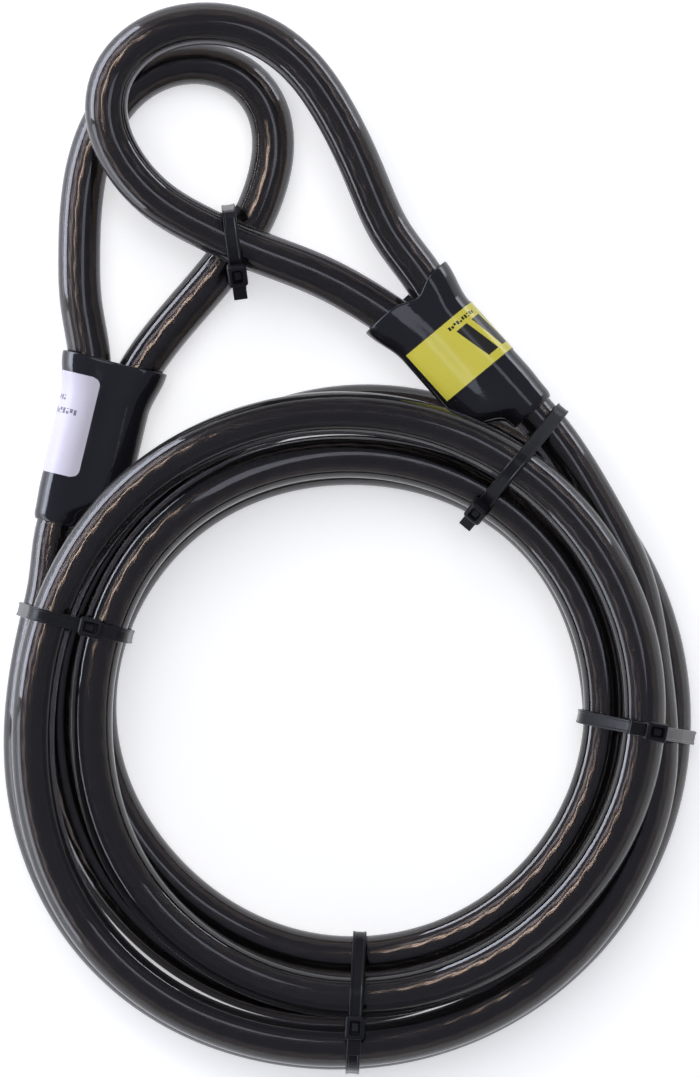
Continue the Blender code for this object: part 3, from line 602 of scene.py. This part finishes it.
last_sample = len(route) - 1
rope_line = route[np.unique(np.append(np.arange(0, last_sample, ROPE_EVERY), last_sample))]
rope_at = metres_along(rope_line)
rope_angle = round_steps(ROPE_SIDES)[None] + np.zeros((len(rope_line), 1))
rope_twist = 2 * math.pi * rope_at[:-1, None] / ROPE_LAY
rope_grid = sweep(rope_line, rope_angle + rope_twist, strand_outline(rope_angle))
rope = build("wire_rope", [(rope_grid, False, True, None, rope_at)])
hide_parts("wire_core")

# %% Galvanised wire, browned by oil
WIRES_ROUND = 22
steel = Finish("galvanised_rope", metallic=1.0)
turn_u, along_v = steel.uv()
wire_turns = (turn_u + along_v * (1 / ROPE_LAY)) * (WIRES_ROUND * 2 * math.pi)
wires = wire_turns.sine() * 0.5 + 0.5
oil = steel.noise(90.0, 3.0).ramp(0.35, 0.7)
steel.set(base_color=steel.mix(oil, (0.66, 0.56, 0.44), (0.78, 0.68, 0.55)),
          roughness=0.22 - wires * 0.04)
steel.bump(wires, 0.01 * MM)
rope.data.materials.append(steel.material)

# %% [markdown]
# ## The boots
#
# Each ferrule hides under a glossy black moulded boot. Its outline is a stadium, two half circles
# joined by flat webs, because two cables lie side by side in it. At the neck it narrows round one
# cable to a collar with a rounded rim, and at the mouth it flares to a thin lip where the two cables
# part. The webs sink a little between the two ridges, and the lip dips there too, far more on the
# right boot. One formula gives a point of its skin from the distance along it and the distance
# travelled round it, so the stickers can use the same formula and lie exactly on it.

# %% The skin of a boot
WEB_DIP = 0.7 * MM
DIP_START, DIP_LENGTH = 6 * MM, 26 * MM       # where the webs start to sink, and over what length
NOTCH_AT, NOTCH_HALF = 3.0 * MM, 5.5 * MM     # the lip's dip: its middle round the boot, its reach
NOTCH_LENGTH = 10 * MM
RIM_LENGTH = 3.5                              # of the collar's rounded rim, in mm
RIM_DROP = 1.15                               # and how far it drops, in mm
LIP_WALL = 1.0                                # at the mouth, in mm
BOOT_SIDES = 96


def ease(t):
    t = np.clip(t, 0.0, 1.0)
    return t * t * (3 - 2 * t)


def boot_shape(boot, along):
    """Half the flat web, the corner radius, and the sideways shift, at a distance from the neck."""
    body = ease((along - COLLAR_LENGTH) / SHOULDER_LENGTH)
    flare = ease((along - (BOOT_LENGTH - FLARE_LENGTH)) / FLARE_LENGTH)
    radius = COLLAR_RADIUS + (BOOT_RADIUS - COLLAR_RADIUS) * body
    half_web = np.maximum(RUN_OFFSET * body + MOUTH_WIDEN * flare, 0.02 * MM)
    return half_web, radius, boot.standing_side * RUN_OFFSET * (1 - body)


def boot_skin(boot, along, travel, lift=0.0):
    """Point of the skin: travel runs over the web, round the half circle and back under the web."""
    half_web, radius, shift = boot_shape(boot, along)
    side, far = np.sign(travel), np.abs(travel)
    turn = np.clip((far - half_web) / radius, 0.0, math.pi)
    back = np.maximum(far - half_web - math.pi * radius, 0.0)
    over_web = np.minimum(far, half_web) - back
    sunk = ease((along - DIP_START) / DIP_LENGTH)
    dip = WEB_DIP * sunk * (0.5 + 0.5 * np.cos(math.pi * np.clip(over_web / half_web, 0, 1)))
    radius = radius + lift
    right = shift + side * (over_web + radius * np.sin(turn))
    return boot.place(along, right, (radius - dip) * np.cos(turn))


def make_boot(name, boot, node):
    """Outside from neck to lip and inside back again, closed into one thin-walled shell."""
    wall = BOOT_WALL / MM
    rim = np.array((0.0, 0.1, 0.4, 0.9, 1.6, 2.5, RIM_LENGTH))
    side = np.concatenate((np.linspace(4.2, 15.0, 20), np.linspace(17.0, 42.0, 12),
                           np.linspace(44.0, 59.5, 20)))
    lip = np.array((59.85, 60.0, 60.0, 59.85))
    along = np.concatenate((rim, side, lip, side[::-1], [1.5])) * MM
    rim_drop = RIM_DROP * (1 - np.sqrt(1 - (1 - rim / RIM_LENGTH) ** 2))
    inside_drop = np.full(len(side), wall)
    inside_drop[-4:] = np.linspace(wall, LIP_WALL, 4)
    lift = -np.concatenate((rim_drop, np.zeros(len(side)), [0.1, 0.4, 0.75, LIP_WALL],
                            inside_drop[::-1], [wall])) * MM
    half_web, radius, _ = boot_shape(boot, along)
    half_round = 2 * half_web + math.pi * radius
    travel = np.linspace(-1, 1, BOOT_SIDES, endpoint=False)[None] * half_round[:, None]
    near_lip = ease((along - BOOT_LENGTH + NOTCH_LENGTH) / NOTCH_LENGTH)[:, None]
    notch = boot.notch * near_lip * np.exp(-((travel - NOTCH_AT) / NOTCH_HALF) ** 2)
    grid = boot_skin(boot, along[:, None] - notch, travel, lift[:, None])
    piece = build(name, [(grid, True, True, None, None)], sharp=60.0)
    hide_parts(node)
    piece.data.materials.append(gloss_black.material)


# %% Glossy black moulding
gloss_black = Finish("gloss_black_plastic", base_color=(0.009, 0.009, 0.012))
smears = gloss_black.noise(70.0, 4.0)
gloss_black.set(roughness=smears.ramp(0.4, 0.8) * 0.10 + 0.08)
gloss_black.bump(gloss_black.noise(260.0, 2.0), 0.06 * MM)

make_boot("moulded_boot_left", LEFT, "boot_left")
make_boot("moulded_boot_right", RIGHT, "boot_right")

# %% [markdown]
# ## The stickers
#
# A white paper label with round corners is wrapped over one edge of the left boot, and a yellow film
# label over the right one. Each is a thin sheet on the boot's skin formula, with a hair of lift.
# Their printing is left generic: two rows of small grey marks on the white one, bold slanted bars
# under one row of marks on the yellow one. The UV map of a sheet is in metres across and down it.

# %% Sheets on the skin
SHEET_ROWS, SHEET_COLUMNS = 60, 70
SHEET_LIFTS = (0.06 * MM, 0.24 * MM)          # its underside and its face above the boot


def sticker(name, boot, start, length, from_side, to_side, corner, skew, finish, node):
    """Rows along the boot whose ends pull in near both edges, which rounds the four corners."""
    along = np.linspace(0.0, length, SHEET_ROWS)
    edge = np.minimum(along, length - along)
    rounding = corner - np.sqrt(np.maximum(corner ** 2 - (corner - edge) ** 2, 0.0))
    inset = np.where(edge < corner, rounding, 0.0)
    share = np.linspace(0.0, 1.0, SHEET_COLUMNS)
    travel = ((from_side + inset)[:, None]
              + share[None] * (to_side - from_side - 2 * inset)[:, None])
    place = (start + along)[:, None] - skew * (travel - from_side)
    under, face = (boot_skin(boot, place, travel, lift) for lift in SHEET_LIFTS)
    grid = np.concatenate((face, under[:, ::-1]), axis=1)
    across = (travel - from_side)[SHEET_ROWS // 2]
    u = np.concatenate((across, across[::-1], across[:1]))
    piece = build(name, [(grid, False, True, u, np.append(along, along[-1]))], sharp=50.0)
    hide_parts(node)
    piece.data.materials.append(finish.material)


# %% White paper with two rows of small grey marks
MARK_GAP = 0.28                   # of a mark's pitch
MARK_BREAK = 0.22                 # of a mark's height, at a place that changes from mark to mark


def marks(across, down, row, height, end, pitch):
    """A row of small upright marks that ends at a given place across the sheet."""
    slot = (across % pitch) / pitch
    broken = ((across / pitch).floor() * 0.37 + down * 310) % 1.0
    return ((down > row) * (down < row + height) * (across < end)
            * (slot > MARK_GAP) * (broken > MARK_BREAK))


paper = Finish("coated_paper", roughness=0.42)
across, down = paper.uv()
fibre = paper.noise(900.0, 3.0)
print_rows = (marks(across, down, row=21.3 * MM, height=2.0 * MM, end=22.2 * MM, pitch=1.6 * MM)
              + marks(across, down, row=26.0 * MM, height=1.8 * MM, end=16.8 * MM, pitch=1.5 * MM))
tone = paper.mix(paper.noise(60.0, 3.0), (0.54, 0.51, 0.58), (0.585, 0.555, 0.625))
paper.set(base_color=paper.mix(print_rows.least(1.0), tone, (0.13, 0.13, 0.15)))
paper.bump(fibre, 0.02 * MM)
sticker("paper_label", LEFT, start=17 * MM, length=36 * MM, from_side=-31 * MM, to_side=-3 * MM,
        corner=3 * MM, skew=0.0, finish=paper, node="label_white")

# %% Yellow film with bold bars
BAR_PITCH, BAR_GAP, BAR_SLANT = 7.1 * MM, 2.4 * MM, 0.22
BAR_TOP, BAR_BOTTOM = 3.6 * MM, 17.2 * MM
BARS_FROM, BARS_TO = 21.3 * MM, 38.5 * MM
film = Finish("yellow_printed_film")
across, down = film.uv()
slant = across + down * BAR_SLANT
bars = (((slant % BAR_PITCH) > BAR_GAP) * (slant > BARS_FROM) * (across < BARS_TO)
        * (down > BAR_TOP) * (down < BAR_BOTTOM))
small = marks(across, down, row=18.6 * MM, height=1.4 * MM, end=30.0 * MM, pitch=1.2 * MM)
small = small * (across > 18.0 * MM)
edge = ((down < 0.5 * MM) + (down > 22.0 * MM) + (across < 0.4 * MM)).least(1.0)
ink = (bars + edge + small).least(1.0)
wear = film.noise(160.0, 4.0)
yellow = film.mix(wear, (0.63, 0.56, 0.062), (0.66, 0.59, 0.072))
film.set(base_color=film.mix(ink, yellow, (0.016, 0.015, 0.012)), roughness=wear * 0.05 + 0.18)
film.bump(film.noise(500.0, 2.0), 0.02 * MM)
sticker("film_label", RIGHT, start=22.5 * MM, length=22.5 * MM, from_side=-15 * MM,
        to_side=30 * MM, corner=0.4 * MM, skew=0.04, finish=film, node="label_yellow")

# %% [markdown]
# ## The cable ties
#
# A tie's strap is pulled tight, so it runs straight between the turns that it touches and bends
# round the outermost ones. That is a support line: in each direction, the furthest point of the
# cable in the strap's slab, moved out by a hair. The head is a rounded block with a window where the
# pawl grips, and the tail comes out of it and is cut short.

# %% Cable surface in a tie's slab
SKIN_SIDES = 72
cable_skin = round_tube(route, SKIN_SIDES).reshape(-1, 3)


def support_line(section, offset, count=120):
    """For each direction the section's furthest point plus the offset, from the underside on."""
    angle = 2 * math.pi * (np.arange(count) + 0.5) / count - math.pi / 2
    direction = np.stack((np.cos(angle), np.sin(angle)), axis=1)
    return section[np.argmax(section @ direction.T, axis=0)] + offset * direction, direction


def rounded_box(size, corner, inset, levels):
    """Rings of a box with round upright corners; each ring is pulled in and sits at its level."""
    quarter = np.linspace(0, math.pi / 2, 5)
    angle = (quarter[None] + np.arange(4)[:, None] * math.pi / 2).ravel()
    signs = np.repeat(np.array(((1, 1), (-1, 1), (-1, -1), (1, -1))), 5, axis=0)
    inset, levels = np.asarray(inset)[:, None] * MM, np.asarray(levels)[:, None]
    x = signs[None, :, 0] * (size[0] / 2 - corner) + np.cos(angle)[None] * corner
    y = signs[None, :, 1] * (size[1] / 2 - corner) + np.sin(angle)[None] * corner
    x, y = x * (1 - 2 * inset / size[0]), y * (1 - 2 * inset / size[1])
    return np.stack((x, y, np.broadcast_to(levels * size[2], x.shape)), axis=-1)


# %% Strap, head, pawl and tail
HEAD = np.array((8.2, 6.8, 5.0)) * MM
PAWL = np.array((3.2, 2.6, 1.5)) * MM
PAWL_LEAN = 0.16                  # radians
TAIL_LENGTH, TAIL_ROOT = 4.5 * MM, 2 * MM     # outside the head, and inside it
TAIL = np.array((TAIL_LENGTH + TAIL_ROOT, STRAP_WIDTH, 1.05 * MM))
STRAP_OFF_CABLE = 0.25 * MM
SLAB_MARGIN = 0.3 * MM            # the cable is looked at this far past the strap's edges

HALF_STRAP = STRAP_WIDTH / MM / 2
STRAP_PROFILE = np.array((        # across the strap and out of it, in mm: a rail along each edge
    (-HALF_STRAP, 0.25), (-HALF_STRAP, 0.9), (0.25 - HALF_STRAP, 1.2), (0.7 - HALF_STRAP, 1.2),
    (1.0 - HALF_STRAP, 0.98), (HALF_STRAP - 1.0, 0.98), (HALF_STRAP - 0.7, 1.2),
    (HALF_STRAP - 0.25, 1.2), (HALF_STRAP, 0.9), (HALF_STRAP, 0.25), (HALF_STRAP - 0.25, 0.0),
    (0.25 - HALF_STRAP, 0.0))) * MM

head_box = rounded_box(           # up its outside, over the rim and down into the window
    HEAD, 1.3 * MM, inset=(1.1, 0.5, 0.12, 0.0, 0.0, 0.12, 0.5, 1.0, 1.5, 1.7, 1.8),
    levels=(-0.5, -0.47, -0.40, -0.30, 0.30, 0.40, 0.47, 0.5, 0.485, 0.40, 0.12))
pawl_box = rounded_box(PAWL, 0.4 * MM, inset=(0.0, 0.0, 0.25), levels=(-0.5, 0.3, 0.5))
tail_box = rounded_box(TAIL, 0.3 * MM, inset=(0.18, 0.0, 0.0, 0.18), levels=(-0.5, -0.3, 0.3, 0.5))


def strap_loop(section):
    """The strap's closed grid round a section of the cables, and its outer line."""
    base, direction = support_line(section, STRAP_OFF_CABLE)
    ring = base[:, None] + STRAP_PROFILE[None, :, 1:] * direction[:, None]
    sideways = np.broadcast_to(STRAP_PROFILE[None, :, 0], ring.shape[:2])
    grid = np.stack((ring[..., 0], sideways, ring[..., 1]), axis=-1)
    return grid, base + STRAP_THICKNESS * direction


def make_tie(name, place, bearing, reach, head_at, tail_outward, node):
    """A tie in its own axes: across the bundle, along the cable, and up."""
    around = math.radians(bearing)
    across = np.array((math.cos(around), math.sin(around), 0.0))
    normal = np.array((-math.sin(around), math.cos(around), 0.0))
    start = laid(*place, 0.0) * np.array((1.0, 1.0, 0.0))
    reach, head_at = reach * PITCH, head_at * PITCH
    relative = cable_skin - start
    along = relative @ across
    inside = np.abs(relative @ normal) < STRAP_WIDTH / 2 + SLAB_MARGIN
    inside &= np.abs(along) < reach
    strap, outer = strap_loop(np.stack((along[inside], cable_skin[inside, 2]), axis=1))

    top = outer[outer[:, 1] > outer[:, 1].mean()]
    top = top[np.argsort(top[:, 0])]
    height = np.interp(head_at, top[:, 0], top[:, 1])
    reached = (head_at - HEAD[0] / 4, head_at + HEAD[0] / 4)
    before, after = np.interp(reached, top[:, 0], top[:, 1])
    turn = math.atan((after - before) / (HEAD[0] / 2))
    way = 1 if tail_outward else -1

    def seated(points, x, lift, lean=0.0):
        """Turn points with the strap's slope and set them on it at the head."""
        c, s = math.cos(turn + lean), math.sin(turn + lean)
        c0, s0 = math.cos(turn), math.sin(turn)
        out = np.empty_like(points)
        out[..., 0] = head_at + x * c0 - lift * s0 + points[..., 0] * c - points[..., 2] * s
        out[..., 1] = points[..., 1]
        out[..., 2] = height + x * s0 + lift * c0 + points[..., 0] * s + points[..., 2] * c
        return out

    lift = HEAD[2] / 2 - STRAP_THICKNESS * 0.7
    shells = [seated(head_box, 0.0, lift),
              seated(pawl_box, -0.3 * MM * way, lift + HEAD[2] * 0.26, PAWL_LEAN * way),
              seated(tail_box, way * (HEAD[0] + TAIL_LENGTH) / 2, lift + HEAD[2] * 0.05)]
    frame_out = np.stack((across, normal, np.array((0.0, 0.0, 1.0))))
    grids = [(strap @ frame_out + start, True, True, None, None)]
    grids += [(shell @ frame_out + start, False, True, None, None) for shell in shells]
    piece = build(name, grids, sharp=35.0)
    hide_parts(node)
    piece.data.materials.append(nylon.material)
    print(f"{name}: head at {head_at / MM:.1f} mm, slope {math.degrees(turn):.0f} degrees")


# %% Black nylon
nylon = Finish("black_nylon_moulded", base_color=(0.008, 0.008, 0.010), specular=0.25)
grain = nylon.noise(700.0, 3.0)
nylon.set(roughness=nylon.noise(60.0, 2.0) * 0.14 + 0.24)
nylon.bump(grain, 0.04 * MM)

# %% The five ties: place, bearing, reach and head across the bundle, and the tail's way
make_tie("nylon_tie_left", (161.35, 0.124), 166.0, 2.20, -0.408, False, "tie_left")
make_tie("nylon_tie_bottom", (271.36, 0.066), 266.9, 2.20, 0.503, True, "tie_bottom")
make_tie("nylon_tie_right", (357.63, 0.088), -11.0, 2.20, 0.299, False, "tie_right")
make_tie("nylon_tie_top_right", (56.38, 0.407), 50.3, 2.20, -1.325, False, "tie_top_right")
make_tie("nylon_tie_eyes", (103.88, 4.358), 98.0, 1.27, -0.529, False, "tie_eyes")

# %% [markdown]
# ## The ferrules
#
# The pressed aluminium sleeves stay inside their boots. Their fixed solids are right as they are, so
# they only get the finish of pressed metal.

# %% Pressed aluminium
alloy = Finish("pressed_alloy", base_color=(0.62, 0.63, 0.65), metallic=1.0)
die_marks = alloy.noise(140.0, 3.0, stretch=(1.0, 1.0, 8.0))
alloy.set(roughness=die_marks * 0.25 + 0.22)
alloy.bump(die_marks, 0.05 * MM)
for node in ("ferrule_left", "ferrule_right"):
    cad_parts[node].material_slots[0].material = alloy.material
